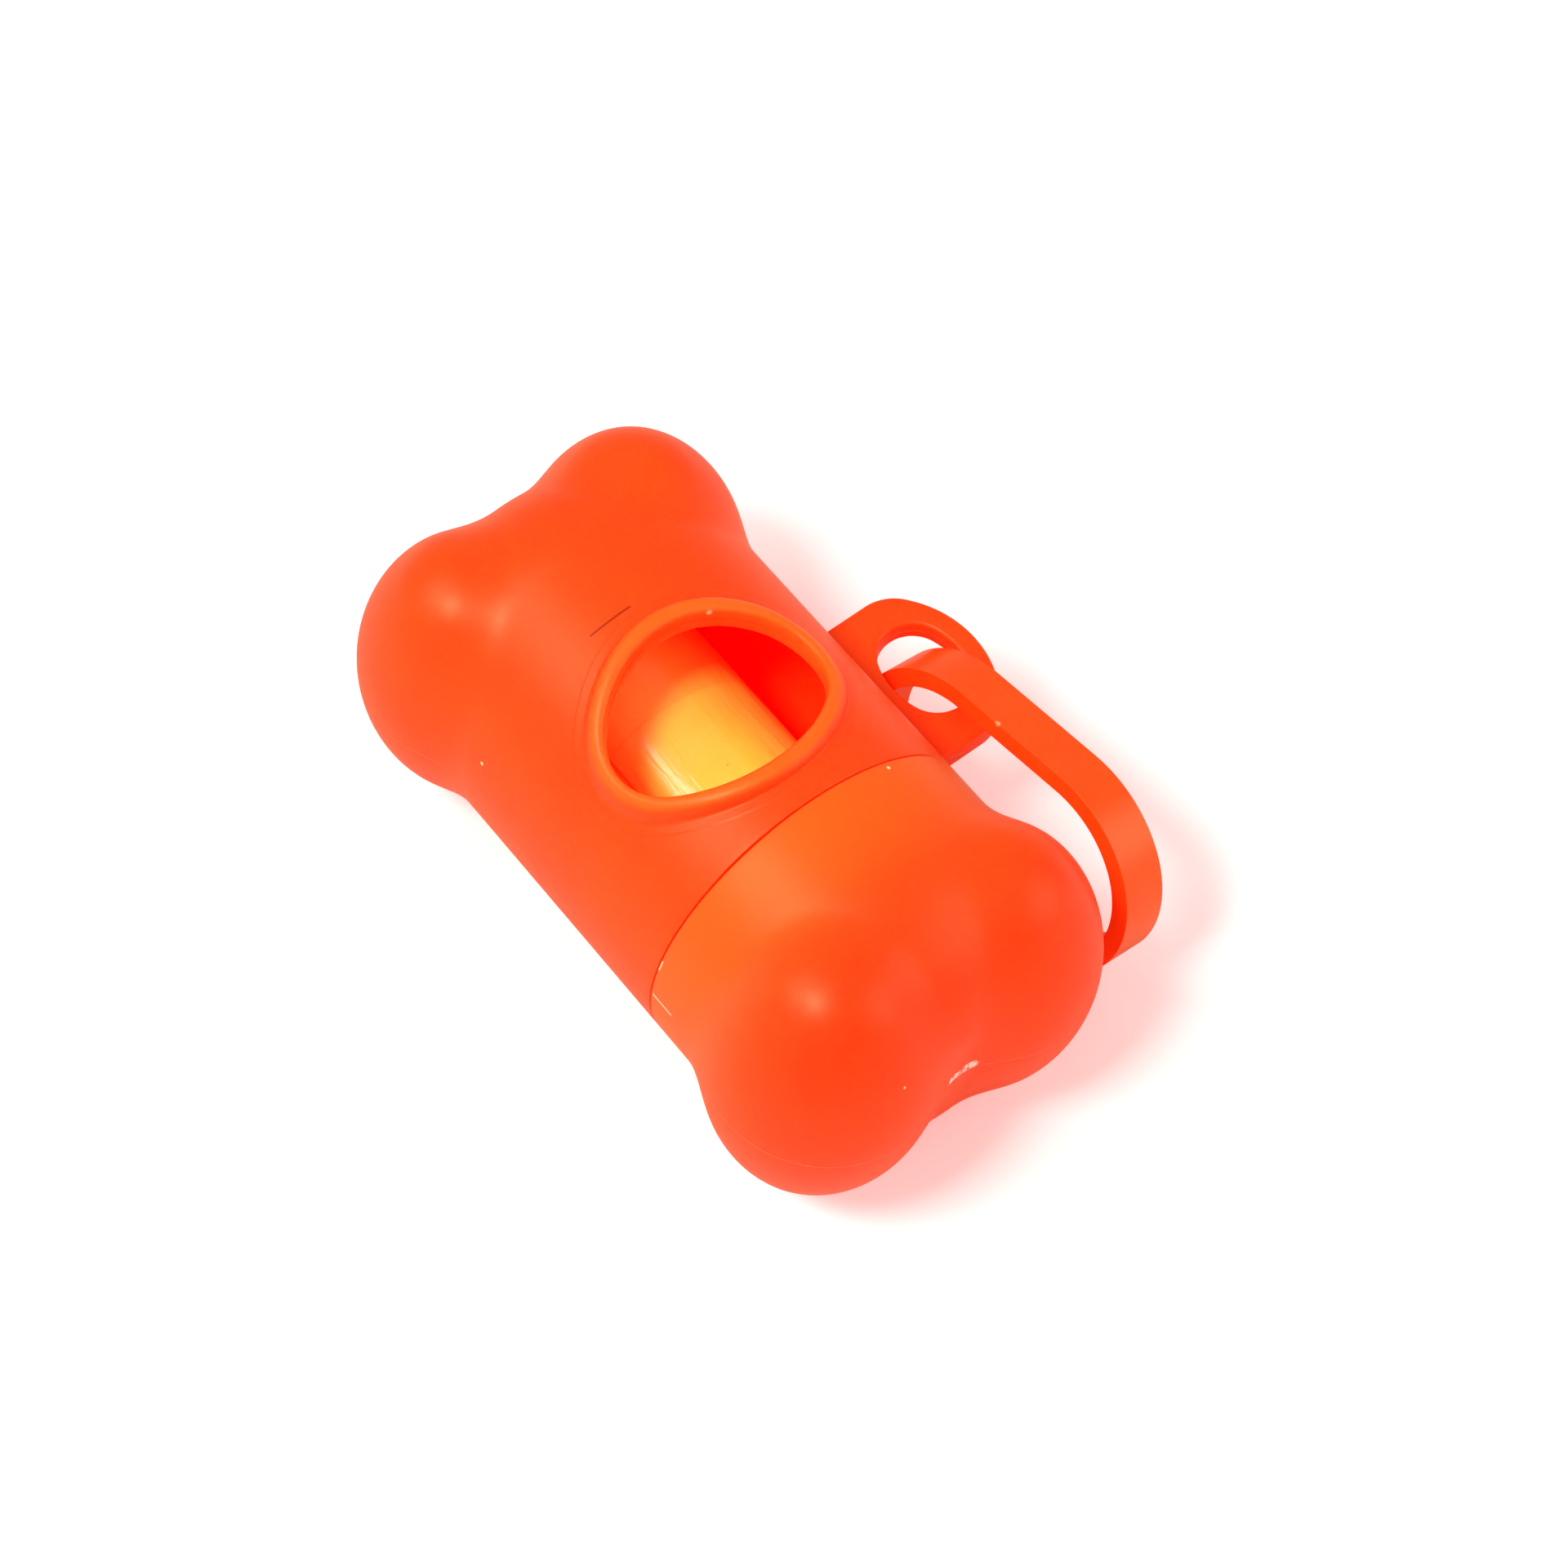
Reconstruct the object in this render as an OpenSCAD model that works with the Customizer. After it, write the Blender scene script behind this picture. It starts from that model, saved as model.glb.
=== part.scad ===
// Bone-shaped dispenser for a roll of waste bags, with a pull-off end cap and an oval clip.
// X runs along the bone towards the cap, Y towards the clip, Z up out of the dispensing opening.
// The origin is on the barrel's axis, halfway along the bone. Millimetres.

/* [Bone outline] */
// Radius of the barrel
barrel_r = 19.5; // [19:0.25:22]
// Distance from the middle of the bone to each end of the barrel
barrel_half = 37.9; // [37.5:0.5:44]
// Radius that rounds the barrel into its ends
barrel_edge_r = 14.6; // [12:0.2:15]
// Half the width of a lobe, seen from above
lobe_r = 12; // [11:0.25:13]
// Half the height of a lobe
lobe_half_z = 18; // [16:0.25:19]
// Radius that rounds the top and bottom of a lobe
lobe_tip_r = 8.8; // [7:0.2:10]
// Distance of the lobes from the middle, along the bone
lobe_x = 28.9; // [28:0.25:32]
// Distance of the lobes from the barrel's axis
lobe_y = 10.2; // [9.5:0.1:11]
// Thickness of the moulded walls
wall = 1.8; // [1.2:0.1:2.2]

/* [Cap joint] */
// Distance of the seam from the middle of the bone
seam_x = 13.3; // [13.3:0.1:15]
// Gap that shows as the seam line
seam_gap = 0.25; // [0.1:0.05:0.4]
// Length of the neck that the cap slides over
neck_len = 9; // [6:0.5:11]
// Thickness of the neck
neck_wall = 1.5; // [1.1:0.1:1.8]
// Length of the neck's root inside the body
neck_root = 2.4; // [1.5:0.1:2.5]
// Space between the neck and the cap's bore
neck_clearance = 0.1; // [0.05:0.05:0.2]
// Space between the grip beads on the neck and the cap's bore
bead_clearance = 0.04; // [0.02:0.01:0.06]
// Radius of the grip beads
grip_bead_r = 0.7; // [0.5:0.1:0.9]
// How far the closed cap stops short of lining up with the body, in degrees
cap_turn = -6; // [-15:1:15]

/* [Dispensing opening] */
// Centre of the opening along the bone
opening_x = -1; // [-1.5:0.1:0]
// Half the length of the opening along the bone
opening_half_x = 8.7; // [7:0.1:8.8]
// Half the width of the opening across the bone
opening_half_y = 11.7; // [9.5:0.1:12]
// Radius at the two narrow ends of the opening
opening_tip_r = 7.2; // [6:0.1:7.4]
// Width of the raised rim round the opening
rim_w = 2.8; // [1.5:0.1:3]
// Height of the rim above the barrel
rim_h = 1.2; // [0.6:0.1:1.5]

/* [Lug] */
// Centre of the lug along the bone
lug_x = 0.45; // [-1:0.05:2]
// Width of the lug along the bone
lug_w = 19.3; // [18:0.1:21]
// Thickness of the lug
lug_t = 2.8; // [2:0.1:3]
// Distance of the lug's outer end from the barrel's axis
lug_reach = 32.3; // [32:0.1:35]
// Radius of the lug's outer end
lug_end_r = 12.2; // [11:0.1:14]
// Radius of the lug's two outer corners
lug_corner_r = 5; // [3:0.5:6]
// Half the length of the eye along the bone
eye_half_x = 5.6; // [5.4:0.1:6.2]
// Half the width of the eye across the bone
eye_half_y = 4.1; // [4:0.1:4.3]
// Radius at the two ends of the eye
eye_tip_r = 3.8; // [3.6:0.1:4]
// Width of the bar outside the eye
eye_bar = 2.4; // [2:0.1:2.6]

/* [Clip] */
// Length of the straight runs of the clip
clip_run = 14.2; // [14:0.2:20]
// Outer radius of the clip's round ends
clip_r = 12.5; // [12:0.1:12.8]
// Thickness of the clip's band
clip_t = 2.1; // [1.6:0.1:2.2]
// Width of the clip's band
clip_w = 5.2; // [4:0.1:5.3]
// Length of the sprung gate
gate_len = 13; // [10:0.5:13.5]
// Length of the half lap at the gate's nose
lap_len = 2; // [1.5:0.1:2.5]
// Running space round the gate
gate_clearance = 0.1; // [0.05:0.05:0.15]
// Angle between the clip and the bone, seen from above
clip_heading = 4.1; // [4:0.1:8]
// Angle by which the clip's far end is raised
clip_pitch = 6; // [4:0.1:7]
// Angle by which the clip leans outwards at its top
clip_lean = 14.9; // [13.5:0.1:15.5]
// Distance of the clip's middle from the lug's middle, along the bone
clip_offset_x = 15.15; // [14.9:0.05:15.4]
// Distance of the clip's middle outside the eye's middle, across the bone
clip_offset_y = -1; // [-1.1:0.05:-0.9]
// Distance of the clip's middle below the lug's middle
clip_drop = 6; // [5.9:0.1:6.3]

/* [Bag roll] */
// Radius of the full roll
roll_r = 11.5; // [9:0.5:12.5]
// Length of the roll
roll_len = 59; // [50:0.5:59]
// Outer radius of the cardboard core
core_r = 7; // [6:0.25:8]
// Thickness of the cardboard core
core_wall = 1; // [0.6:0.1:1.5]
// Space under the roll where it lies in the neck
roll_clearance = 0.3; // [0.2:0.05:0.5]
// Thickness of the outermost bag's film, folded in four
film_t = 0.3; // [0.2:0.05:0.4]
// Margin between the outermost bag and the ends of the roll
film_margin = 0.5; // [0.2:0.1:2]
// Angle that the outermost bag covers round the roll, in degrees
film_angle = 290; // [200:10:330]
// Direction in which the outermost bag's free edge lies, in degrees from straight up
film_edge = 42; // [0:1:80]

/* [Smoothness] */
// Segments of a full circle
$fn = 96; // [48:8:160]

/* [Hidden] */
// reach of the cutting blocks, beyond every solid
far = 2*barrel_half;
// overlap that joins solids of one piece
joined = 0.1;
bore_r = barrel_r - wall;
neck_r = bore_r - neck_clearance;
neck_bore_r = neck_r - neck_wall;
neck_end_x = seam_x + neck_len;
lug_end_y = lug_reach - lug_end_r;
eye_y = lug_reach - eye_bar - eye_half_y;
roll_body_r = roll_r - film_t;
roll_z = -(neck_bore_r - roll_clearance - roll_r);
clip_mid_r = clip_r - clip_t/2;
gate_hinge_x = gate_len/2;
nose_r = gate_len;
grip_beads = [neck_end_x - neck_len/3, neck_end_x - 2*neck_len/3];

// Oval of four arcs: half-size a along X, half-size b along Y, end radius r.
module oval(a, b, r) {
    side_r = (a*a + pow(b - r, 2) - r*r)/(2*(a - r));
    side_x = side_r - a;
    meet_y = side_r*sin(atan2(b - r, side_x));
    intersection() {
        translate([-side_x, 0]) circle(side_r);
        translate([side_x, 0]) circle(side_r);
        square([4*a, 2*meet_y], center = true);
    }
    for (end = [-1, 1]) translate([0, end*(b - r)]) circle(r);
}

// Slot outline: two half circles of radius r joined by runs of the given length.
module slot(run, r) {
    square([run, 2*r], center = true);
    for (end = [-1, 1]) translate([end*run/2, 0]) circle(r);
}

// Barrel with rounded ends, drawn in by inset.
module barrel(inset) {
    r = barrel_r - inset;
    half = barrel_half - inset;
    edge = barrel_edge_r - inset;
    rotate([0, 90, 0]) rotate_extrude() {
        translate([0, -half]) square([r - edge, 2*half]);
        translate([0, edge - half]) square([r, 2*(half - edge)]);
        intersection() {
            for (end = [-1, 1]) translate([r - edge, end*(half - edge)]) circle(edge);
            translate([0, -half]) square([r, 2*half]);
        }
    }
}

// Pair of lobes at the +X end, drawn in by inset.
module lobes(inset) {
    for (side = [-1, 1]) translate([lobe_x, side*lobe_y, 0]) rotate_extrude() intersection() {
        oval(lobe_r - inset, lobe_half_z - inset, lobe_tip_r - inset);
        translate([0, -lobe_half_z]) square([lobe_r, 2*lobe_half_z]);
    }
}

// Everything on one side of a plane across the bone: dir is 1 for beyond x, -1 for before it.
module side_of(x, dir) {
    translate([dir > 0 ? x : x - far, -far/2, -far/2]) cube(far);
}

// Tube along the bone, from x0 to x1.
module along(x0, x1, r) {
    translate([x0, 0, 0]) rotate([0, 90, 0]) cylinder(h = x1 - x0, r = r);
}

// Dispensing opening, or its rim's outline when grown.
module opening_outline(grow) {
    translate([opening_x, 0]) oval(opening_half_x + grow, opening_half_y + grow, opening_tip_r + grow);
}

module lug_outline() {
    corner_x = lug_w/2 - lug_corner_r;
    corner_y = sqrt(pow(lug_end_r - lug_corner_r, 2) - pow(corner_x, 2));
    reach = far/lug_end_r;
    translate([lug_x, lug_end_y]) {
        translate([-lug_w/2, bore_r - lug_end_y]) square([lug_w, lug_end_y - bore_r + corner_y]);
        for (side = [-1, 1]) translate([side*corner_x, corner_y]) circle(lug_corner_r);
        intersection() {
            circle(lug_end_r);
            polygon([[0, 0], [reach*corner_x, reach*corner_y], [-reach*corner_x, reach*corner_y]]);
        }
    }
}

module rim() {
    intersection() {
        linear_extrude(far) opening_outline(rim_w);
        along(-barrel_half/2, seam_x, barrel_r + rim_h);
    }
}

module neck() {
    difference() {
        union() {
            along(seam_x - joined, neck_end_x, neck_r);
            along(seam_x - neck_root, seam_x, bore_r + joined);
            for (x = grip_beads) translate([x, 0, 0]) rotate([0, 90, 0]) rotate_extrude()
                translate([bore_r - bead_clearance - grip_bead_r, 0]) circle(grip_bead_r);
        }
        along(seam_x - neck_root - joined, neck_end_x + joined, neck_bore_r);
    }
}

module body_shell() color("orangered") {
    difference() {
        union() {
            intersection() {
                union() {
                    barrel(0);
                    mirror([1, 0, 0]) lobes(0);
                }
                side_of(seam_x, -1);
            }
            rim();
            translate([0, 0, -lug_t/2]) linear_extrude(lug_t) lug_outline();
        }
        barrel(wall);
        mirror([1, 0, 0]) lobes(wall);
        linear_extrude(far) opening_outline(0);
        translate([lug_x, eye_y, -lug_t]) linear_extrude(2*lug_t) rotate(90)
            oval(eye_half_y, eye_half_x, eye_tip_r);
    }
    neck();
}

module end_cap() color("orangered") rotate([cap_turn, 0, 0]) {
    difference() {
        intersection() {
            union() {
                barrel(0);
                lobes(0);
            }
            side_of(seam_x + seam_gap, 1);
        }
        barrel(wall);
        lobes(wall);
    }
}

// Puts the clip's flat outline in its place, hanging in the lug's eye.
module clip_place() {
    translate([lug_x + clip_offset_x, eye_y + clip_offset_y, -clip_drop])
        rotate([0, 0, clip_heading]) rotate([0, -clip_pitch, 0]) rotate([-clip_lean, 0, 0])
            rotate([90, 0, 0]) linear_extrude(clip_w, center = true) children();
}

// Space that the gate needs in the clip's lower run, with a lip left under its nose.
module gate_space() {
    difference() {
        union() {
            translate([gate_hinge_x - nose_r - gate_clearance, -clip_r - joined])
                square([nose_r + gate_clearance, clip_t + 2*joined]);
            translate([gate_hinge_x, -clip_mid_r]) circle(clip_t/2 + gate_clearance);
        }
        translate([gate_hinge_x - nose_r - clip_t, -clip_r - clip_t])
            square([clip_t + lap_len, 1.5*clip_t - gate_clearance/2]);
    }
}

module clip_ring() color("orangered") clip_place() difference() {
    slot(clip_run, clip_r);
    slot(clip_run, clip_r - clip_t);
    gate_space();
}

module clip_gate() color("orangered") clip_place() {
    translate([gate_hinge_x, -clip_mid_r]) circle(clip_t/2);
    translate([gate_hinge_x - nose_r + lap_len + gate_clearance, -clip_r])
        square([nose_r - lap_len - gate_clearance, clip_t]);
    translate([gate_hinge_x - nose_r, -clip_mid_r + gate_clearance/2])
        square([nose_r, (clip_t - gate_clearance)/2]);
}

// Puts a part of the roll on its axis, with its length along the bone.
module roll_place() {
    translate([0, 0, roll_z]) rotate([0, 90, 0]) children();
}

module bag_core() color("tan") roll_place() difference() {
    cylinder(h = roll_len, r = core_r, center = true);
    cylinder(h = roll_len + 2*joined, r = core_r - core_wall, center = true);
}

module bag_roll() color("gold") roll_place() difference() {
    cylinder(h = roll_len, r = roll_body_r, center = true);
    cylinder(h = roll_len + 2*joined, r = core_r, center = true);
}

// The outermost bag, wound on the roll up to its free edge.
module leading_bag() color("yellow") roll_place() {
    gap = 360 - film_angle;
    difference() {
        cylinder(h = roll_len - 2*film_margin, r = roll_r, center = true);
        cylinder(h = roll_len, r = roll_body_r, center = true);
        linear_extrude(roll_len, center = true) rotate(180 + film_edge)
            polygon([[0, 0], [2*roll_r, 0], for (a = [gap/2, gap]) 2*roll_r*[cos(a), sin(a)]]);
    }
}

body_shell();
end_cap();
clip_ring();
clip_gate();
bag_core();
bag_roll();
leading_bag();
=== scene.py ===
import math

import bmesh
import bpy
import numpy as np
from mathutils import Matrix, Vector, noise


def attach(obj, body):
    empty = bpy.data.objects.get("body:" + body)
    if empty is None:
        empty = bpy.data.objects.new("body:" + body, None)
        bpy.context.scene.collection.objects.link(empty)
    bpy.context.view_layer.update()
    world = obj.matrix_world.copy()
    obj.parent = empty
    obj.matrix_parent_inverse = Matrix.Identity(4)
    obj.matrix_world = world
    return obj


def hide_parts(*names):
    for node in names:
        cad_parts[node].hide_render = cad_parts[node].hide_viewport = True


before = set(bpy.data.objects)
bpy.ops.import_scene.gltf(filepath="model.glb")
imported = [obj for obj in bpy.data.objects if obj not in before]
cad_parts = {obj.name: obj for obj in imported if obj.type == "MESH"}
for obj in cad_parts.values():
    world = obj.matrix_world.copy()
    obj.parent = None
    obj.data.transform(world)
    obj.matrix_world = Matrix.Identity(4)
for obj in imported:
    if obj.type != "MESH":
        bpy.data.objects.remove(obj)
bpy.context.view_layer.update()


# Camera: a long lens held above the bone's near side, looking down on the opening.
# It is turned by two degrees about its own line of sight.
MM = 0.001
AZIMUTH = math.radians(50.2025)
ELEVATION = math.radians(60.3661)
ROLL = math.radians(2.01)
DISTANCE = 429.9 * MM
ASIDE = 6.11 * MM
ABOVE = 2.01 * MM
SENSOR = 36
FOCAL = 97.54

back = Vector((
    math.sin(AZIMUTH) * math.cos(ELEVATION), -math.cos(AZIMUTH) * math.cos(ELEVATION), math.sin(ELEVATION),
))
level = Vector((math.cos(AZIMUTH), math.sin(AZIMUTH), 0))
right = level * math.cos(ROLL) + back.cross(level) * math.sin(ROLL)
up = back.cross(right)
lens = bpy.data.cameras.new("camera")
lens.sensor_width = SENSOR
lens.lens = FOCAL
lens.clip_start = 0.01
camera = bpy.data.objects.new("camera", lens)
bpy.context.scene.collection.objects.link(camera)
aim = Matrix((right, up, back)).transposed().to_4x4()
camera.matrix_world = Matrix.Translation(back * DISTANCE + right * ASIDE + up * ABOVE) @ aim
bpy.context.scene.camera = camera


# Body of the bone: one thin-walled moulding in orange polypropylene, slightly translucent.
# It carries the opening's rim, the lug with its eye and the neck that the cap slides over.
# Two mould halves part on its middle plane, so a fine line runs round the lobes there.
BARREL_R = 19.5
BARREL_HALF = 37.9
BARREL_EDGE_R = 14.6
LOBE_R = 12.0
LOBE_HALF_Z = 18.0
LOBE_TIP_R = 8.8
LOBE_X = 28.9
LOBE_Y = 10.2
LOBE_BLEND = 2.1
WALL = 1.8
SEAM_X = 13.3
OPENING_X = -1.25
OPENING_HALF = (8.95, 11.7)
OPENING_TIP_R = 7.2
RIM_W = 2.5
RIM_NARROWS = 0.3
RIM_H = 1.2
RIM_ROUND = 1.2
LUG_X = 0.45
LUG_W = 19.3
LUG_T = 2.8
LUG_REACH = 32.3
LUG_END_R = 12.2
LUG_CORNER_R = 5.0
EYE_Y = 25.8
EYE_HALF = (4.1, 5.6)
EYE_TIP_R = 3.8
NECK_R = 17.6
NECK_BORE_R = 16.1
NECK_END_X = 22.3
NECK_ROOT_X = 10.9
NECK_GRIP_H = 0.06
ROOT_MID_R = 17.3
LIP_R = 0.15
EDGE_ROUND = 0.3
OPENING_ROUND = 0.5
BEAD_BLEND = 0.25
ROOT_BLEND = 0.5
LUG_ROUND = 0.5
LUG_BLEND = 0.8
LUG_SUNK = 1.2
BODY_CUT_X = 12.2
BODY_SMOOTH_TO_X = 12.1
BODY_LIP_X = 12.7
FAR_OFF = 99.0
SHELL_VOXEL = 0.75


def smooth_union(a, b, blend):
    h = np.maximum(blend - np.abs(a - b), 0) / blend
    return np.minimum(a, b) - h * h * blend / 4


def smooth_cut(a, b, blend):
    return -smooth_union(-a, b, blend)


def inside_both(a, b, round_r):
    a, b = a + round_r, b + round_r
    return np.minimum(np.maximum(a, b), 0) + np.hypot(np.maximum(a, 0), np.maximum(b, 0)) - round_r


def oval(u, v, half_u, half_v, tip_r):
    side_r = (half_u**2 + (half_v - tip_r) ** 2 - tip_r**2) / (2 * (half_u - tip_r))
    side_u = side_r - half_u
    u, v = np.abs(u), np.abs(v)
    at_tip = v * side_u > (u + side_u) * (half_v - tip_r)
    return np.where(at_tip, np.hypot(u, v - half_v + tip_r) - tip_r, np.hypot(u + side_u, v) - side_r)


def bone(x, y, z, end, inset):
    barrel = inside_both(np.abs(x) - BARREL_HALF + inset, np.hypot(y, z) - BARREL_R + inset, BARREL_EDGE_R - inset)
    lobes = [
        oval(np.hypot(x - end * LOBE_X, y - side * LOBE_Y), z, LOBE_R - inset, LOBE_HALF_Z - inset, LOBE_TIP_R - inset)
        for side in (-1, 1)
    ]
    return smooth_union(barrel, smooth_union(*lobes, LOBE_BLEND), LOBE_BLEND)


def from_opening(x, y, z):
    return np.where(z > 0, oval(x - OPENING_X, y, *OPENING_HALF, OPENING_TIP_R), FAR_OFF)


def rim_w(y):
    return RIM_W - RIM_NARROWS * (y / OPENING_HALF[1]) ** 2


def lug_outline(x, y):
    u, v = np.abs(x - LUG_X), y - LUG_REACH + LUG_END_R
    corner_u = LUG_W / 2 - LUG_CORNER_R
    corner_v = math.sqrt((LUG_END_R - LUG_CORNER_R) ** 2 - corner_u**2)
    end = np.hypot(u, v) - LUG_END_R
    corner = np.hypot(u - corner_u, v - corner_v) - LUG_CORNER_R
    rounded = np.where(u * corner_v < v * corner_u, end, corner)
    return np.where(v < corner_v, u - LUG_W / 2, rounded)


def eye_outline(x, y):
    return oval(y - EYE_Y, x - LUG_X, *EYE_HALF, EYE_TIP_R)


def body_surface(x, y, z):
    r = np.hypot(y, z)
    opening = from_opening(x, y, z)
    bead = inside_both(np.abs(opening - rim_w(y) / 2) - rim_w(y) / 2, r - BARREL_R - RIM_H, RIM_ROUND)
    outer = smooth_union(bone(x, y, z, -1, 0), bead, BEAD_BLEND)
    shell = smooth_cut(outer, bone(x, y, z, -1, WALL), EDGE_ROUND)
    root = inside_both(np.abs(r - ROOT_MID_R) - ROOT_MID_R + NECK_BORE_R, NECK_ROOT_X - x, EDGE_ROUND)
    shell = smooth_union(shell, root, ROOT_BLEND)
    shell = smooth_cut(shell, opening, OPENING_ROUND)
    lug = inside_both(np.maximum(lug_outline(x, y), -eye_outline(x, y)), np.abs(z) - LUG_T / 2, LUG_ROUND)
    return smooth_union(shell, np.maximum(lug, BARREL_R - LUG_SUNK - y), LUG_BLEND)


def slopes(surface, at):
    step = 0.002
    columns = []
    for axis in range(3):
        shift = np.zeros(3)
        shift[axis] = step
        columns.append((surface(*(at + shift).T) - surface(*(at - shift).T)) / (2 * step))
    return np.stack(columns, 1)


def settled(surface, at, rounds):
    for _ in range(rounds):
        slope = slopes(surface, at)
        step = surface(*at.T)[:, None] * slope / np.maximum((slope**2).sum(1), 0.2)[:, None]
        at = at - step * np.minimum(1, 0.4 / np.maximum(np.linalg.norm(step, axis=1), 1e-9))[:, None]
    return at


def seat(bm, surface, zone, rounds):
    at = np.array([v.co for v in bm.verts]) / MM
    near = zone(*at.T)
    at[near] = settled(surface, at[near], rounds)
    for v, co, moves in zip(bm.verts, (at * MM).tolist(), near.tolist()):
        if moves:
            v.co = co


def relax(bm, zone):
    at = np.array([v.co for v in bm.verts]) / MM
    near = [v for v, moves in zip(bm.verts, zone(*at.T).tolist()) if moves]
    bmesh.ops.smooth_vert(bm, verts=near, factor=0.5, use_axis_x=True, use_axis_y=True, use_axis_z=True)


def everywhere(x, y, z):
    return np.full(len(x), True)


def moulded(node, surface, voxel, fine_zones=()):
    piece = bpy.data.objects.new("raw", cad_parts[node].data.copy())
    bpy.context.scene.collection.objects.link(piece)
    bm = bmesh.new()
    bm.from_mesh(piece.data)
    bmesh.ops.remove_doubles(bm, verts=bm.verts, dist=0.001 * MM)
    bm.to_mesh(piece.data)
    bm.free()
    remesh = piece.modifiers.new("voxels", "REMESH")
    remesh.mode = "VOXEL"
    remesh.voxel_size = voxel * MM
    mesh = bpy.data.meshes.new_from_object(piece.evaluated_get(bpy.context.evaluated_depsgraph_get()))
    bpy.data.objects.remove(piece)
    bm = bmesh.new()
    bm.from_mesh(mesh)
    bpy.data.meshes.remove(mesh)
    for _ in range(2):
        seat(bm, surface, everywhere, 6)
        relax(bm, everywhere)
    seat(bm, surface, everywhere, 6)
    for zone in fine_zones:
        at = np.array([v.co for v in bm.verts]) / MM
        for v, near in zip(bm.verts, zone(*at.T).tolist()):
            v.tag = near
        edges = [e for e in bm.edges if e.verts[0].tag and e.verts[1].tag]
        bmesh.ops.subdivide_edges(bm, edges=edges, cuts=1, use_grid_fill=True)
        for _ in range(3):
            seat(bm, surface, zone, 5)
            relax(bm, zone)
        seat(bm, surface, zone, 5)
    return bm


def cut_open(bm, x, keep_low):
    bmesh.ops.bisect_plane(
        bm, geom=bm.verts[:] + bm.edges[:] + bm.faces[:], dist=0.0001 * MM, plane_co=(x * MM, 0, 0), plane_no=(1, 0, 0),
        clear_outer=keep_low, clear_inner=not keep_low,
    )
    loops = {False: [], True: []}
    for edge in bm.edges:
        if edge.is_boundary:
            radius = math.hypot(*((edge.verts[0].co + edge.verts[1].co) / 2).yz)
            loops[radius > 18.5 * MM].append(edge)
    return loops[True], loops[False]


def turned_end(bm, outer_loop, inner_loop, profile):
    loop = outer_loop
    for x, r in profile:
        made = bmesh.ops.extrude_edge_only(bm, edges=loop)["geom"]
        loop = [g for g in made if isinstance(g, bmesh.types.BMEdge)]
        for v in (g for g in made if isinstance(g, bmesh.types.BMVert)):
            angle = math.atan2(v.co.z, v.co.y)
            v.co = Vector((x, r * math.cos(angle), r * math.sin(angle))) * MM
    bmesh.ops.bridge_loops(bm, edges=loop + inner_loop)
    bmesh.ops.recalc_face_normals(bm, faces=bm.faces)


def arc(x, r, radius, start, stop, steps=4):
    turns = [math.radians(start + (stop - start) * i / steps) for i in range(steps + 1)]
    return [(x + radius * math.cos(a), r + radius * math.sin(a)) for a in turns]


def finished(bm, name, surface=None, within=None, measures=None):
    mesh = bpy.data.meshes.new(name)
    for face in bm.faces:
        face.smooth = True
    bm.to_mesh(mesh)
    bm.free()
    if surface:
        mesh.update()
        at = np.array([v.co for v in mesh.vertices]) / MM
        normals = np.array([v.normal for v in mesh.vertices])
        held = within(at[:, 0])
        slope = slopes(surface, at[held])
        normals[held] = slope / np.maximum(np.linalg.norm(slope, axis=1), 1e-6)[:, None]
        mesh.normals_split_custom_set_from_vertices(normals.tolist())
        for measure, values in measures(*at.T).items():
            mesh.attributes.new(measure, "FLOAT", "POINT").data.foreach_set("value", values.astype(np.float32))
    piece = bpy.data.objects.new(name, mesh)
    bpy.context.scene.collection.objects.link(piece)
    return piece


def near_rim(within, above_r):
    def zone(x, y, z):
        opening = from_opening(x, y, z)
        return (z > 8) & (np.hypot(y, z) > above_r) & (opening > -1.2) & (opening < RIM_W + within)
    return zone


def near_lug(within):
    def zone(x, y, z):
        edge = np.minimum(np.abs(lug_outline(x, y)), np.abs(eye_outline(x, y)))
        beside = (np.abs(z) < LUG_T / 2 + 1.2) & (np.abs(x - LUG_X) < LUG_W / 2 + 1.5)
        return (y > 18.3) & beside & ((edge < within) | (y < 20.4))
    return zone


bm = moulded(
    "body_shell", body_surface, SHELL_VOXEL,
    [near_rim(2.0, 17), near_rim(0.6, 18.2), near_lug(FAR_OFF), near_lug(0.9)],
)
outer_loop, inner_loop = cut_open(bm, BODY_CUT_X, True)
grip_x = (NECK_END_X - 6, NECK_END_X - 3)
grip = ((-0.3, 0), (-0.15, 0.75 * NECK_GRIP_H), (0, NECK_GRIP_H), (0.15, 0.75 * NECK_GRIP_H), (0.3, 0))
turned_end(
    bm, outer_loop, inner_loop,
    [(BODY_LIP_X, BARREL_R)] + arc(SEAM_X - LIP_R, BARREL_R - LIP_R, LIP_R, 90, 0)
    + [(SEAM_X, NECK_R + 0.2), (SEAM_X + 0.05, NECK_R + 0.05), (SEAM_X + 0.2, NECK_R)]
    + [(x + dx, NECK_R + dr) for x in grip_x for dx, dr in grip]
    + arc(NECK_END_X - 0.4, NECK_R - 0.4, 0.4, 90, 0) + arc(NECK_END_X - 0.3, NECK_BORE_R + 0.3, 0.3, 0, -90)
    + [(17, NECK_BORE_R), (13, NECK_BORE_R)],
)
body = finished(
    bm, "body", body_surface, lambda x: x < BODY_SMOOTH_TO_X,
    lambda x, y, z: {"from_opening": from_opening(x, y, z) - rim_w(y), "from_parting": z},
)


def linear(colour):
    parts = [int(colour[i : i + 2], 16) / 255 for i in (1, 3, 5)]
    return [c / 12.92 if c <= 0.04045 else ((c + 0.055) / 1.055) ** 2.4 for c in parts] + [1]


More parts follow.
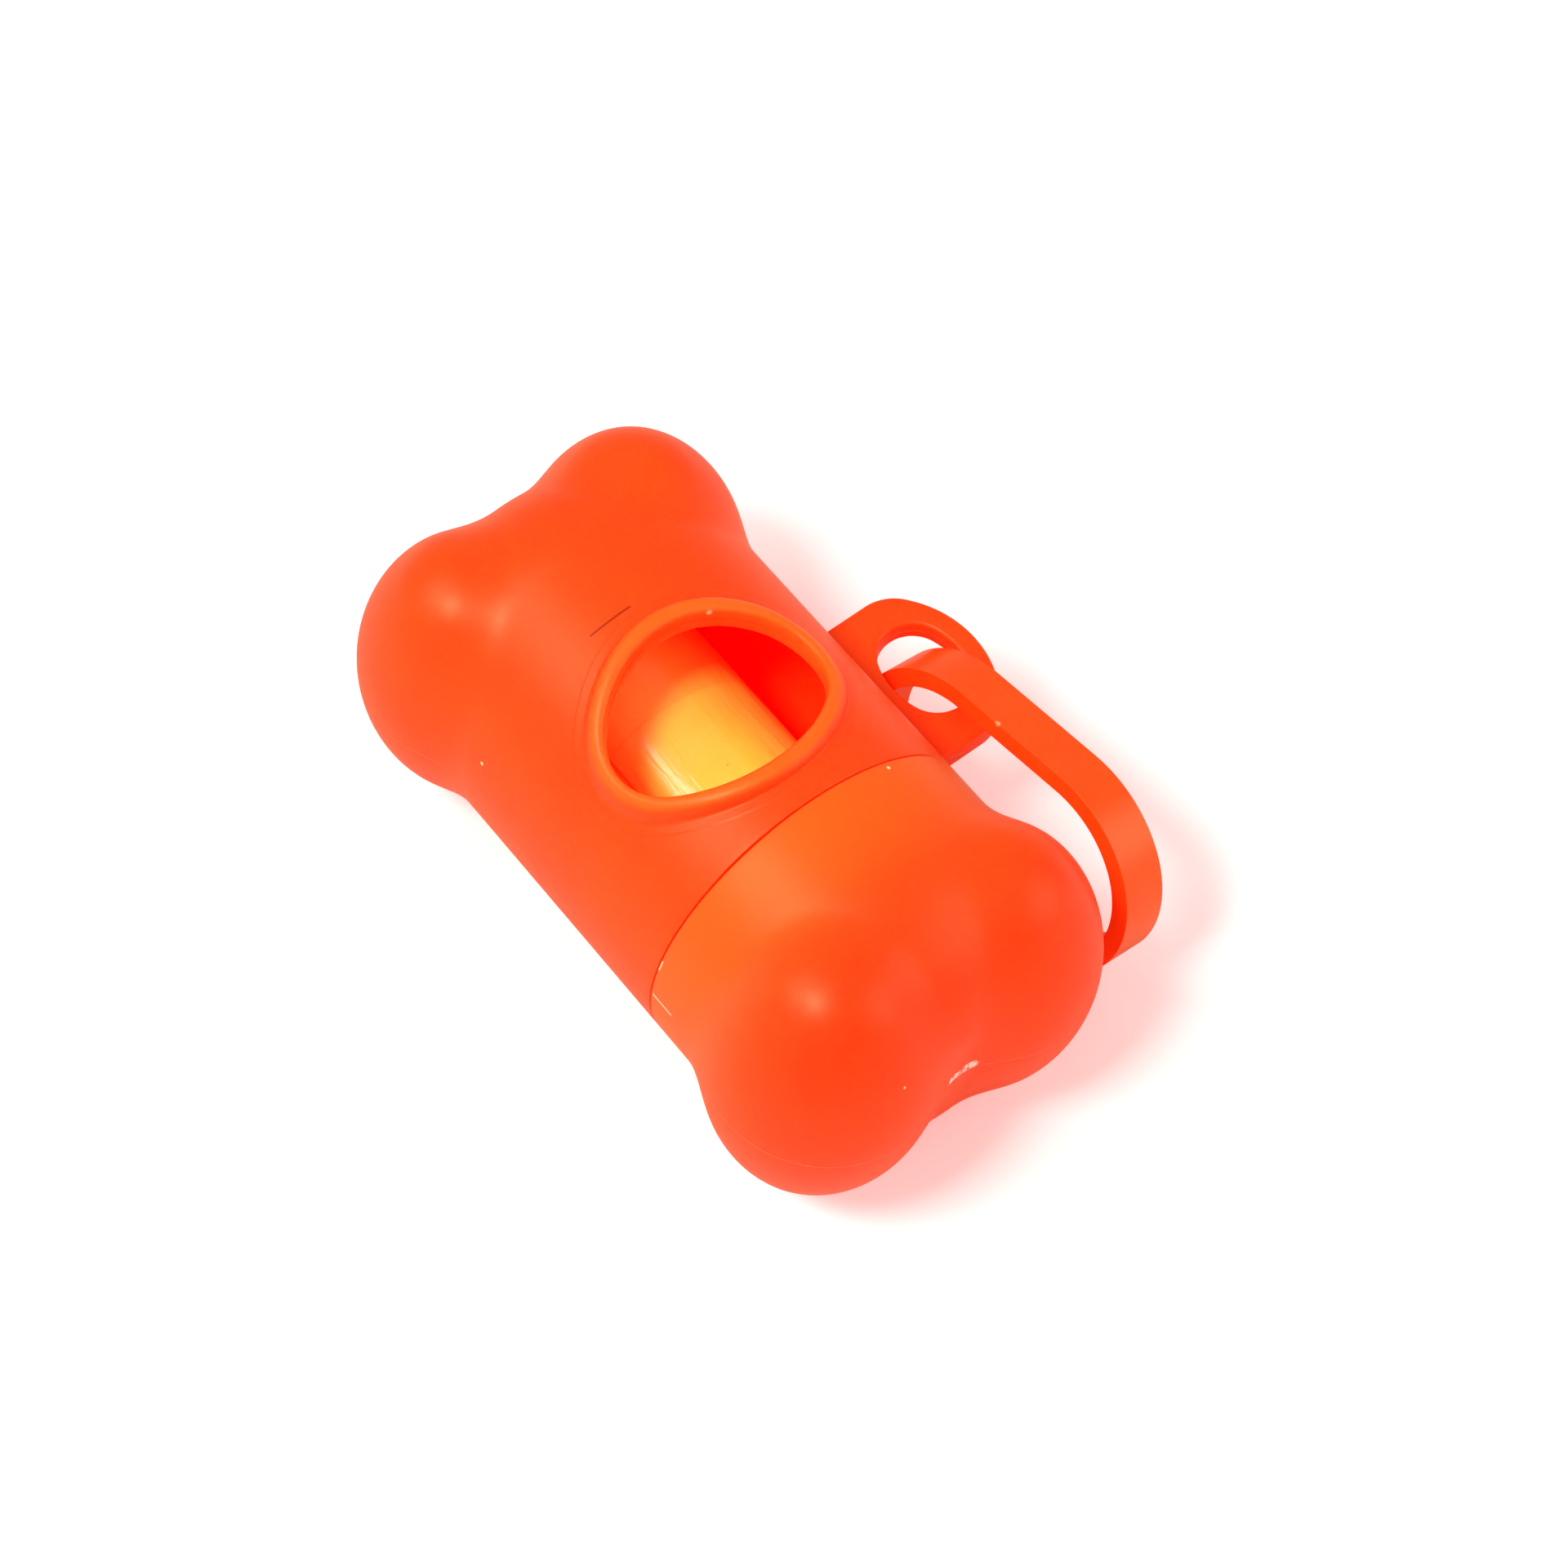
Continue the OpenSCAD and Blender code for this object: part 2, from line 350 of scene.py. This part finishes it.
def add(tree, kind, sockets, **settings):
    node = tree.nodes.new("ShaderNode" + kind)
    for key, value in settings.items():
        setattr(node, key, value)
    for key, value in sockets.items():
        if isinstance(value, bpy.types.NodeSocket):
            tree.links.new(value, node.inputs[key])
        else:
            node.inputs[key].default_value = value
    return node


def mark(tree, place, centre, half, size):
    off = add(tree, "VectorMath", {0: place, 1: [c * MM for c in centre]}, operation="SUBTRACT")
    off = add(tree, "VectorMath", {0: off.outputs["Vector"]}, operation="ABSOLUTE")
    off = add(tree, "VectorMath", {0: off.outputs["Vector"], 1: [h * MM for h in half]}, operation="SUBTRACT")
    off = add(tree, "VectorMath", {0: off.outputs["Vector"], 1: (0, 0, 0)}, operation="MAXIMUM")
    off = add(tree, "VectorMath", {0: off.outputs["Vector"]}, operation="LENGTH")
    ramp = {"Value": off.outputs["Value"], "From Min": size * 1.3 * MM, "From Max": size * 0.7 * MM}
    return add(tree, "MapRange", ramp).outputs["Result"]


# Moulded polypropylene, orange: a satin skin with a faint flow mottle and fine mould texture.
# Red light goes some millimetres into it, so thin walls glow and shaded sides stay warm.
polypropylene = bpy.data.materials.new("orange moulded polypropylene")
polypropylene.use_nodes = True
tree = polypropylene.node_tree
skin = tree.nodes["Principled BSDF"]
place = add(tree, "TexCoord", {}).outputs["Object"]
mottle = add(tree, "TexNoise", {"Vector": place, "Scale": 1 / (14 * MM), "Detail": 2.0})
tint = add(tree, "Mix", {0: mottle.outputs["Fac"], 6: linear("#FF420A"), 7: linear("#FF5612")}, data_type="RGBA")
# the cap is painted a touch yellower by the seam as painted light, and redder towards its lobe ends as painted shade
apart = add(tree, "SeparateXYZ", {"Vector": place})
beyond = add(tree, "Math", {0: apart.outputs["X"], 1: (SEAM_X + 0.05) * MM}, operation="GREATER_THAN")
for near_x, far_x, share, colour in ((29, 15, 0.75, "#FF6616"), (25, 36, 0.6, "#FF3806")):
    ramp = {"Value": apart.outputs["X"], "From Min": near_x * MM, "From Max": far_x * MM, "To Max": share}
    painted_light_and_shade = add(tree, "MapRange", ramp, interpolation_type="SMOOTHSTEP")
    painted_light_and_shade = add(tree, "Math", {0: painted_light_and_shade.outputs["Result"], 1: beyond.outputs[0]}, operation="MULTIPLY")
    tint = add(tree, "Mix", {0: painted_light_and_shade.outputs[0], 6: tint.outputs[2], 7: linear(colour)}, data_type="RGBA")
# pale marks: specks of unmixed pigment, scuffs by the seam and stress whitening on the cap's lip
pale = 0.0
for centre, half, size in (
    ((-9.25, 5.3, 19.5), (0, 0, 0), 0.32),
    ((-15.64, -18.5, 6.17), (0, 0, 0), 0.2),
    ((14.16, 9.19, 17.2), (0, 0, 0), 0.2),
    ((-3.4, 9.3, 18.0), (0, 0, 0), 0.18),
    ((39.25, -8.58, 9.59), (0, 0, 0), 0.14),
    ((15.2, -19.37, 2.3), (1.4, 0.1, 0), 0.1),
    ((13.62, -18.25, 6.85), (0.02, 0.2, 0.6), 0.06),
):
    pale = add(tree, "Math", {0: pale, 1: mark(tree, place, centre, half, size)}, operation="MAXIMUM").outputs[0]
# the cap's gate was broken off in the notch between its lobes and left a rough, whitened scar
scar = add(tree, "TexNoise", {"Vector": place, "Scale": 1 / (0.45 * MM), "Detail": 2.0})
scar = add(tree, "MapRange", {"Value": scar.outputs["Fac"], "From Min": 0.42, "From Max": 0.5})
notch = mark(tree, place, (38.1, 0, 0.45), (0.2, 1.2, 0.05), 0.6)
scar = add(tree, "Math", {0: scar.outputs["Result"], 1: notch}, operation="MULTIPLY")
tint = add(tree, "Mix", {0: pale, 6: tint.outputs[2], 7: linear("#FFE0A8")}, data_type="RGBA")
tint = add(tree, "Mix", {0: scar.outputs[0], 6: tint.outputs[2], 7: linear("#FFE8D8")}, data_type="RGBA")
# the bead's crest is painted lighter: a painted highlight where the crest catches the light
bead = add(tree, "Attribute", {}, attribute_name="from_opening")
# painted highlight: strongest on the middle of the bead, fading towards its edges
bead = add(tree, "Math", {0: bead.outputs["Fac"], 1: 1.35}, operation="ADD")
bead = add(tree, "Math", {0: bead.outputs[0]}, operation="ABSOLUTE")
bead = {"Value": bead.outputs[0], "From Min": 1.15, "From Max": 0.45}
bead = add(tree, "MapRange", bead, interpolation_type="SMOOTHSTEP")
tint = add(tree, "Mix", {0: bead.outputs["Result"], 6: tint.outputs[2], 7: linear("#FF6C1A")}, data_type="RGBA")
# a short sink line runs across the barrel beside the opening, and the parting line carries a thin painted highlight
# along its ridge
sink = mark(tree, place, (-14.65, -2.9, 19.1), (0, 2.4, 0.6), 0.13)
tint = add(tree, "Mix", {0: sink, 6: tint.outputs[2], 7: linear("#A82C0C")}, data_type="RGBA")
parting = add(tree, "Attribute", {}, attribute_name="from_parting")
parting = add(tree, "Math", {0: parting.outputs["Fac"]}, operation="ABSOLUTE")
parting = {"Value": parting.outputs[0], "From Min": 0.2, "From Max": 0.04}
parting = add(tree, "MapRange", parting, interpolation_type="SMOOTHSTEP")
# painted highlight along the parting line's ridge
parting_highlight = add(tree, "Math", {0: parting.outputs["Result"], 1: 0.3}, operation="MULTIPLY")
tint = add(tree, "Mix", {0: parting_highlight.outputs[0], 6: tint.outputs[2], 7: linear("#FF8048")}, data_type="RGBA")
tree.links.new(tint.outputs[2], skin.inputs["Base Color"])
# where the cap covers the neck the wall is doubled, and lets less light through
doubled = add(tree, "MapRange", {"Value": apart.outputs["X"], "From Min": 25 * MM, "From Max": 22 * MM})
doubled = add(tree, "Math", {0: doubled.outputs["Result"], 1: beyond.outputs[0]}, operation="MULTIPLY")
through = add(tree, "MapRange", {"Value": doubled.outputs[0], "To Min": 0.85, "To Max": 0.2})
tree.links.new(through.outputs["Result"], skin.inputs["Subsurface Weight"])
# fine relief: mould texture, flow ripple, the parting line and the edge of the rim's mould insert
grain = add(tree, "TexNoise", {"Vector": place, "Scale": 1 / (0.6 * MM), "Detail": 3.0})
ripple = add(tree, "TexNoise", {"Vector": place, "Scale": 1 / (6 * MM), "Detail": 1.0})
insert = add(tree, "Attribute", {}, attribute_name="from_opening")
insert = {"Value": insert.outputs["Fac"], "From Min": 1.25, "From Max": 1.0}
insert = add(tree, "MapRange", insert, interpolation_type="SMOOTHSTEP")
relief = add(tree, "Bump", {"Height": grain.outputs["Fac"], "Distance": 0.01 * MM, "Strength": 0.5})
for height, depth in (
    (ripple.outputs["Fac"], 0.04), (parting.outputs["Result"], 0.07), (insert.outputs["Result"], 0.035),
):
    over = {"Height": height, "Distance": depth * MM, "Strength": 1.0, "Normal": relief.outputs["Normal"]}
    relief = add(tree, "Bump", over)
tree.links.new(relief.outputs["Normal"], skin.inputs["Normal"])
skin.inputs["Roughness"].default_value = 0.4
skin.inputs["IOR"].default_value = 1.49
skin.inputs["Specular IOR Level"].default_value = 0.5
skin.inputs["Specular Tint"].default_value = linear("#FFD9A0")
skin.inputs["Subsurface Radius"].default_value = (1.0, 0.08, 0.03)
skin.inputs["Subsurface Scale"].default_value = 3 * MM

body.data.materials.append(polypropylene)
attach(body, "shell")
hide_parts("body_shell")


# End cap: the other end of the bone, moulded in the same orange polypropylene.
# It pushes over the neck, and here it stands a few degrees out of line with the body.
CAP_X = 13.45
CAP_TURN = math.radians(-6)
CAP_CUT_X = 14.8
CAP_SMOOTH_FROM_X = 14.9
CAP_LIP_X = 14.3
CAP_VOXEL = 0.65


def cap_surface(x, y, z):
    level_y = y * math.cos(CAP_TURN) + z * math.sin(CAP_TURN)
    level_z = z * math.cos(CAP_TURN) - y * math.sin(CAP_TURN)
    outer = bone(x, level_y, level_z, 1, 0)
    return smooth_cut(outer, bone(x, level_y, level_z, 1, WALL), EDGE_ROUND)


bm = moulded("end_cap", cap_surface, CAP_VOXEL)
outer_loop, inner_loop = cut_open(bm, CAP_CUT_X, False)
turned_end(
    bm, outer_loop, inner_loop,
    [(CAP_LIP_X, BARREL_R)] + arc(CAP_X + LIP_R, BARREL_R - LIP_R, LIP_R, 90, 180)
    + [(CAP_X, BARREL_R - WALL + 0.2), (CAP_X + 0.2, BARREL_R - WALL), (CAP_LIP_X, BARREL_R - WALL)],
)
cap = finished(
    bm, "cap", cap_surface, lambda x: x > CAP_SMOOTH_FROM_X,
    lambda x, y, z: {
        "from_opening": np.full(len(x), FAR_OFF),
        "from_parting": z * math.cos(CAP_TURN) - y * math.sin(CAP_TURN),
    },
)
cap.data.materials.append(polypropylene)
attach(cap, "cap")
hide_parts("end_cap")


# Clip: a flat oval band moulded in tough orange nylon and passed through the lug's eye.
# Its edges are lightly rounded. The gate is let into its lower run and springs at its root.
BAND_EDGE_R = 0.5
GATE_EDGE_R = 0.3


def edged(node, radius):
    bm = bmesh.new()
    bm.from_mesh(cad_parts[node].data)
    bmesh.ops.remove_doubles(bm, verts=bm.verts, dist=0.001 * MM)
    bmesh.ops.dissolve_limit(bm, angle_limit=math.radians(0.5), verts=bm.verts, edges=bm.edges)
    sharp = [e for e in bm.edges if e.is_manifold and e.calc_face_angle() > math.radians(30)]
    bmesh.ops.bevel(
        bm, geom=sharp, offset=radius * MM, offset_type="OFFSET", affect="EDGES", segments=4, profile=0.5,
        material=-1, clamp_overlap=True,
    )
    return bm


# Tough nylon in the same orange: a little glossier, with faint drag lines along the band.
nylon = bpy.data.materials.new("orange moulded nylon")
nylon.use_nodes = True
tree = nylon.node_tree
skin = tree.nodes["Principled BSDF"]
place = add(tree, "TexCoord", {}).outputs["Object"]
mottle = add(tree, "TexNoise", {"Vector": place, "Scale": 1 / (9 * MM), "Detail": 2.0})
tint = add(tree, "Mix", {0: mottle.outputs["Fac"], 6: linear("#FF4E0C"), 7: linear("#FF5A12")}, data_type="RGBA")
off = add(tree, "VectorMath", {0: place, 1: (12.3 * MM, 25.3 * MM, 6.45 * MM)}, operation="DISTANCE")
gate_mark = add(tree, "MapRange", {"Value": off.outputs["Value"], "From Min": 0.38 * MM, "From Max": 0.2 * MM})
tint = add(tree, "Mix", {0: gate_mark.outputs["Result"], 6: tint.outputs[2], 7: linear("#FFB27A")}, data_type="RGBA")
tree.links.new(tint.outputs[2], skin.inputs["Base Color"])
drag = add(tree, "Mapping", {"Vector": place, "Scale": (0.12, 1.0, 0.5)})
drag = add(tree, "TexNoise", {"Vector": drag.outputs["Vector"], "Scale": 1 / (0.7 * MM), "Detail": 2.0})
ripple = add(tree, "TexNoise", {"Vector": place, "Scale": 1 / (5 * MM), "Detail": 1.0})
relief = add(tree, "Bump", {"Height": drag.outputs["Fac"], "Distance": 0.015 * MM, "Strength": 0.6})
over = {"Height": ripple.outputs["Fac"], "Distance": 0.12 * MM, "Strength": 1.0, "Normal": relief.outputs["Normal"]}
relief = add(tree, "Bump", over)
tree.links.new(relief.outputs["Normal"], skin.inputs["Normal"])
skin.inputs["Roughness"].default_value = 0.34
skin.inputs["IOR"].default_value = 1.53
skin.inputs["Specular IOR Level"].default_value = 0.8
skin.inputs["Specular Tint"].default_value = linear("#FFD9A0")
skin.inputs["Subsurface Weight"].default_value = 0.8
skin.inputs["Subsurface Radius"].default_value = (1.0, 0.12, 0.04)
skin.inputs["Subsurface Scale"].default_value = 2.5 * MM

for node, name, body_name, edge_r in (
    ("clip_ring", "clip_band", "clip", BAND_EDGE_R), ("clip_gate", "gate", "gate", GATE_EDGE_R),
):
    piece = finished(edged(node, edge_r), name)
    weighted = piece.modifiers.new("normals", "WEIGHTED_NORMAL")
    weighted.keep_sharp = False
    piece.data.materials.append(nylon)
    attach(piece, body_name)
    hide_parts(node)


# Core of the roll: a short tube wound from strips of brown cardboard, glued in a spiral.
# The strip's seam shows as a line that climbs round it.
ROLL_Z = -4.3
STRIP_PITCH = 16.0
cardboard = bpy.data.materials.new("wound brown cardboard")
cardboard.use_nodes = True
tree = cardboard.node_tree
skin = tree.nodes["Principled BSDF"]
place = add(tree, "TexCoord", {}).outputs["Object"]
middle = add(tree, "Mapping", {"Vector": place, "Location": (0, 0, -ROLL_Z * MM)})
apart = add(tree, "SeparateXYZ", {"Vector": middle.outputs["Vector"]})
turn = add(tree, "Math", {0: apart.outputs["Y"], 1: apart.outputs["Z"]}, operation="ARCTAN2")
turn = add(tree, "Math", {0: turn.outputs[0], 1: 1 / (2 * math.pi)}, operation="MULTIPLY")
climb = {0: apart.outputs["X"], 1: 1 / (STRIP_PITCH * MM), 2: turn.outputs[0]}
climb = add(tree, "Math", climb, operation="MULTIPLY_ADD")
climb = add(tree, "Math", {0: climb.outputs[0]}, operation="FRACT")
seam = add(tree, "MapRange", {"Value": climb.outputs[0], "From Min": 0.02, "From Max": 0.0})
fibre = add(tree, "Mapping", {"Vector": middle.outputs["Vector"], "Scale": (0.4, 1.0, 1.0)})
fibre = add(tree, "TexNoise", {"Vector": fibre.outputs["Vector"], "Scale": 1 / (0.5 * MM), "Detail": 4.0})
tint = add(tree, "Mix", {0: fibre.outputs["Fac"], 6: linear("#9C7A4E"), 7: linear("#C9AC7E")}, data_type="RGBA")
tint = add(tree, "Mix", {0: seam.outputs["Result"], 6: tint.outputs[2], 7: linear("#7A5C38")}, data_type="RGBA")
tree.links.new(tint.outputs[2], skin.inputs["Base Color"])
relief = add(tree, "Bump", {"Height": fibre.outputs["Fac"], "Distance": 0.04 * MM, "Strength": 1.0})
over = {"Height": seam.outputs["Result"], "Distance": 0.1 * MM, "Strength": 1.0, "Normal": relief.outputs["Normal"]}
relief = add(tree, "Bump", over, invert=True)
tree.links.new(relief.outputs["Normal"], skin.inputs["Normal"])
skin.inputs["Roughness"].default_value = 0.88
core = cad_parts["bag_core"]
core.data.materials.clear()
core.data.materials.append(cardboard)


# Roll of bags: thin yellow polyethylene film, folded lengthways and wound tight on the core.
# The layers leave fine rings on its ends, and its face is slightly slack and wrinkled.
ROLL_R = 11.2
CORE_R = 7.0
ROLL_HALF = 29.5
BAG_R = 11.5
BAG_MARGIN = 0.5
FILM_T = 0.16
FOLD_X = 9.4
FOLD_PITCH = 14.5
FREE_EDGE = math.radians(42)
FREE_GAP = math.radians(70)


def wrinkle(x, turn, depth):
    at = Vector((x * 0.07, 2.2 * math.cos(turn), 2.2 * math.sin(turn)))
    fine = Vector((x * 0.22 + 9, 5 * math.cos(turn), 5 * math.sin(turn)))
    return depth * (0.7 * noise.noise(at) + 0.3 * noise.noise(fine))


def spun(bm, rows):
    verts = [bm.verts.new((x * MM, 0, (ROLL_Z + r) * MM)) for x, r in rows]
    edges = [bm.edges.new(pair) for pair in zip(verts, verts[1:])]
    bmesh.ops.spin(
        bm, geom=verts + edges, cent=(0, 0, ROLL_Z * MM), axis=(1, 0, 0), dvec=(0, 0, 0), angle=2 * math.pi,
        steps=200, use_merge=True, use_duplicate=False,
    )


bm = bmesh.new()
layers = [(CORE_R + 0.02 + (ROLL_R - CORE_R - 0.1) * i / 24, 0.09 * ((i * 7) % 5 - 2) / 2) for i in range(25)]
low_end = [(-ROLL_HALF + 0.1 + step, r) for r, step in layers]
high_end = [(ROLL_HALF - 0.1 - step, r) for r, step in reversed(layers)]
face = [((i / 40 - 1) * (ROLL_HALF - 0.35), ROLL_R) for i in range(81)]
spun(bm, [(-ROLL_HALF + 0.5, CORE_R + 0.02)] + low_end + face + high_end + [(ROLL_HALF - 0.5, CORE_R + 0.02)])
bmesh.ops.bridge_loops(bm, edges=[e for e in bm.edges if e.is_boundary])
for v in bm.verts:
    r = math.hypot(v.co.y / MM, v.co.z / MM - ROLL_Z)
    if r > ROLL_R - 0.01:
        turn = math.atan2(v.co.y / MM, v.co.z / MM - ROLL_Z)
        grow = (r - 0.06 + wrinkle(v.co.x / MM, turn, 0.06)) / r
        v.co = Vector((v.co.x, v.co.y * grow, (v.co.z - ROLL_Z * MM) * grow + ROLL_Z * MM))
bmesh.ops.recalc_face_normals(bm, faces=bm.faces)
roll = finished(bm, "wound_bags")

# Outermost bag: the same film, in a flat strip that lies round the roll up to its free edge.
bm = bmesh.new()
start = -FREE_EDGE
sweep = 2 * math.pi - FREE_GAP
bmesh.ops.create_grid(bm, x_segments=116, y_segments=220, size=0.5)
for v in bm.verts:
    across, around = v.co.x, v.co.y + 0.5
    x = across * 2 * (ROLL_HALF - BAG_MARGIN) + 0.12 * math.sin(9 * around)
    turn = start + sweep * around
    ease = max(0, 1 - around / 0.05)
    r = BAG_R - FILM_T + wrinkle(x, turn, FILM_T) + 0.1 * ease * noise.noise(Vector((x * 0.16, 4, 1)))
    v.co = Vector((x, r * math.sin(turn), ROLL_Z + r * math.cos(turn))) * MM
bmesh.ops.recalc_face_normals(bm, faces=bm.faces)
if sum((f.normal.z for f in bm.faces if f.calc_center_median().z > 5 * MM), 0.0) < 0:
    bmesh.ops.reverse_faces(bm, faces=bm.faces)
leading = finished(bm, "leading_film")
fold = leading.modifiers.new("folded film", "SOLIDIFY")
fold.thickness = FILM_T * MM
fold.offset = -1

# Polyethylene film: thin, yellow and waxy, with soft creases and a satin gloss.
film = bpy.data.materials.new("yellow polyethylene film")
film.use_nodes = True
tree = film.node_tree
skin = tree.nodes["Principled BSDF"]
place = add(tree, "TexCoord", {}).outputs["Object"]
haze = add(tree, "TexNoise", {"Vector": place, "Scale": 1 / (5 * MM), "Detail": 3.0})
tint = add(tree, "Mix", {0: haze.outputs["Fac"], 6: linear("#FFEA3C"), 7: linear("#FFFA68")}, data_type="RGBA")
off = add(tree, "VectorMath", {0: place, 1: (-0.23 * MM, 0.64 * MM, 7.15 * MM)}, operation="DISTANCE")
speck = add(tree, "MapRange", {"Value": off.outputs["Value"], "From Min": 0.22 * MM, "From Max": 0.12 * MM})
tint = add(tree, "Mix", {0: speck.outputs["Result"], 6: tint.outputs[2], 7: linear("#B8741A")}, data_type="RGBA")
tree.links.new(tint.outputs[2], skin.inputs["Base Color"])
stretch = add(tree, "Mapping", {"Vector": place, "Scale": (0.25, 1.0, 1.0)})
creases = {"Vector": stretch.outputs["Vector"], "Scale": 1 / (1.6 * MM), "Detail": 3.0, "Distortion": 0.6}
creases = add(tree, "TexNoise", creases)
# inner folds of the strip stand out as lines round the roll
apart = add(tree, "SeparateXYZ", {"Vector": place})
folds = add(tree, "Math", {0: apart.outputs["X"], 1: FOLD_X * MM}, operation="ADD")
folds = add(tree, "Math", {0: folds.outputs[0], 1: FOLD_PITCH * MM, 2: 0.0}, operation="WRAP")
folds = {"Value": folds.outputs[0], "From Min": 0.0, "From Max": 0.3 * MM}
folds = add(tree, "MapRange", folds, interpolation_type="SMOOTHSTEP")
relief = add(tree, "Bump", {"Height": creases.outputs["Fac"], "Distance": 0.1 * MM, "Strength": 1.0})
over = {"Height": folds.outputs["Result"], "Distance": 0.04 * MM, "Strength": 1.0, "Normal": relief.outputs["Normal"]}
relief = add(tree, "Bump", over)
tree.links.new(relief.outputs["Normal"], skin.inputs["Normal"])
along = add(tree, "CombineXYZ", {"X": 1.0})
tree.links.new(along.outputs["Vector"], skin.inputs["Tangent"])
skin.inputs["Anisotropic"].default_value = 0.95
skin.inputs["Roughness"].default_value = 0.4
skin.inputs["IOR"].default_value = 1.6
skin.inputs["Specular IOR Level"].default_value = 1.0
skin.inputs["Subsurface Weight"].default_value = 0.15
skin.inputs["Subsurface Radius"].default_value = (1.0, 0.5, 0.08)
skin.inputs["Subsurface Scale"].default_value = 1.2 * MM
for piece, node in ((roll, "bag_roll"), (leading, "leading_bag")):
    piece.data.materials.append(film)
    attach(piece, "roll")
    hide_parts(node)


# Studio: a white sweep on the level that the bone lies on, three soft lamps and a pale room.
# The sweep and the room turn plain white to the camera far out; near the bone the shadow stays, tinted by a painted
# pink glow, and the sweep's reflections in the bone are painted a darker warm tone.
FLOOR_Z = -19.5 * MM
FLOOR_HALF = 3
NEAR_M = 0.2
FAR_M = 0.9
LAMP_DISTANCE = 0.8
bm = bmesh.new()
bmesh.ops.create_grid(bm, x_segments=1, y_segments=1, size=FLOOR_HALF)
bmesh.ops.translate(bm, verts=bm.verts, vec=(0, 0, FLOOR_Z))
floor = finished(bm, "floor")
paper = bpy.data.materials.new("white paper sweep")
paper.use_nodes = True
tree = paper.node_tree
skin = tree.nodes["Principled BSDF"]
skin.inputs["Roughness"].default_value = 0.9
skin.inputs["Specular IOR Level"].default_value = 0.1
path = add(tree, "LightPath", {})
# painted reflection: in reflections the sweep is given a darker, warmer colour than it has elsewhere
painted_reflection_tone = {0: path.outputs["Is Glossy Ray"], 6: linear("#F7F7F7"), 7: linear("#E0C8B4")}
painted_reflection_tone = add(tree, "Mix", painted_reflection_tone, data_type="RGBA")
tree.links.new(painted_reflection_tone.outputs[2], skin.inputs["Base Color"])
far = add(tree, "VectorMath", {0: add(tree, "TexCoord", {}).outputs["Object"]}, operation="LENGTH")
glow = {"Value": far.outputs["Value"], "From Min": NEAR_M, "From Max": FAR_M, "To Min": 0.4, "To Max": 1.0}
glow = add(tree, "MapRange", glow)
glow = add(tree, "Math", {0: path.outputs["Is Camera Ray"], 1: glow.outputs["Result"]}, operation="MULTIPLY")
tree.links.new(glow.outputs[0], skin.inputs["Emission Strength"])
# painted pink glow: near the bone the sweep's own glow is pink, which tints its shadow
painted_pink_glow = add(tree, "MapRange", {"Value": far.outputs["Value"], "From Min": NEAR_M, "From Max": FAR_M})
painted_pink_glow = add(tree, "Mix", {0: painted_pink_glow.outputs["Result"], 6: linear("#FFCCC8"), 7: linear("#FFFFFF")}, data_type="RGBA")
tree.links.new(painted_pink_glow.outputs[2], skin.inputs["Emission Color"])
floor.data.materials.append(paper)

for name, aim_from, size, power in (
    ("key", (-0.38, -0.5, 0.76), 0.4, 2.2),
    ("overhead", (0.0, -0.46, 0.88), 0.18, 4.0),
    ("fill", (0.6, 0.6, 0.45), 0.6, 2.2),
):
    lamp = bpy.data.lights.new(name, "AREA")
    lamp.color = linear("#FFEEEC")[:3]
    lamp.shape = "SQUARE"
    lamp.size = size
    lamp.energy = power
    light = bpy.data.objects.new(name, lamp)
    bpy.context.scene.collection.objects.link(light)
    toward = Vector(aim_from).normalized()
    turned = toward.to_track_quat("Z", "Y").to_matrix().to_4x4()
    light.matrix_world = Matrix.Translation(toward * LAMP_DISTANCE) @ turned

# light soaks through the shell from all round, so its chamber glows red: three weak lamps add to that
for x in (-19.5, 9.5, 18.5):
    lamp = bpy.data.lights.new("glow", "POINT")
    lamp.color = linear("#FF2814")[:3]
    lamp.shadow_soft_size = 3 * MM
    lamp.energy = 0.002
    light = bpy.data.objects.new("glow", lamp)
    bpy.context.scene.collection.objects.link(light)
    light.location = (x * MM, 0, 12.4 * MM)
    light.visible_glossy = False

world = bpy.data.worlds.new("room")
world.use_nodes = True
bpy.context.scene.world = world
tree = world.node_tree
room = tree.nodes["Background"]
path = add(tree, "LightPath", {})
white = {0: path.outputs["Is Camera Ray"], 6: linear("#FFE2DE"), 7: linear("#FFFFFF")}
white = add(tree, "Mix", white, data_type="RGBA")
tree.links.new(white.outputs[2], room.inputs["Color"])
strength = add(tree, "MapRange", {"Value": path.outputs["Is Glossy Ray"], "To Min": 0.5, "To Max": 0.28})
strength = {0: strength.outputs["Result"], 1: path.outputs["Is Camera Ray"]}
strength = add(tree, "Math", strength, operation="MAXIMUM")
tree.links.new(strength.outputs[0], room.inputs["Strength"])
bpy.context.scene.view_settings.view_transform = "Standard"
bpy.context.scene.cycles.max_bounces = 24
bpy.context.scene.cycles.diffuse_bounces = 16
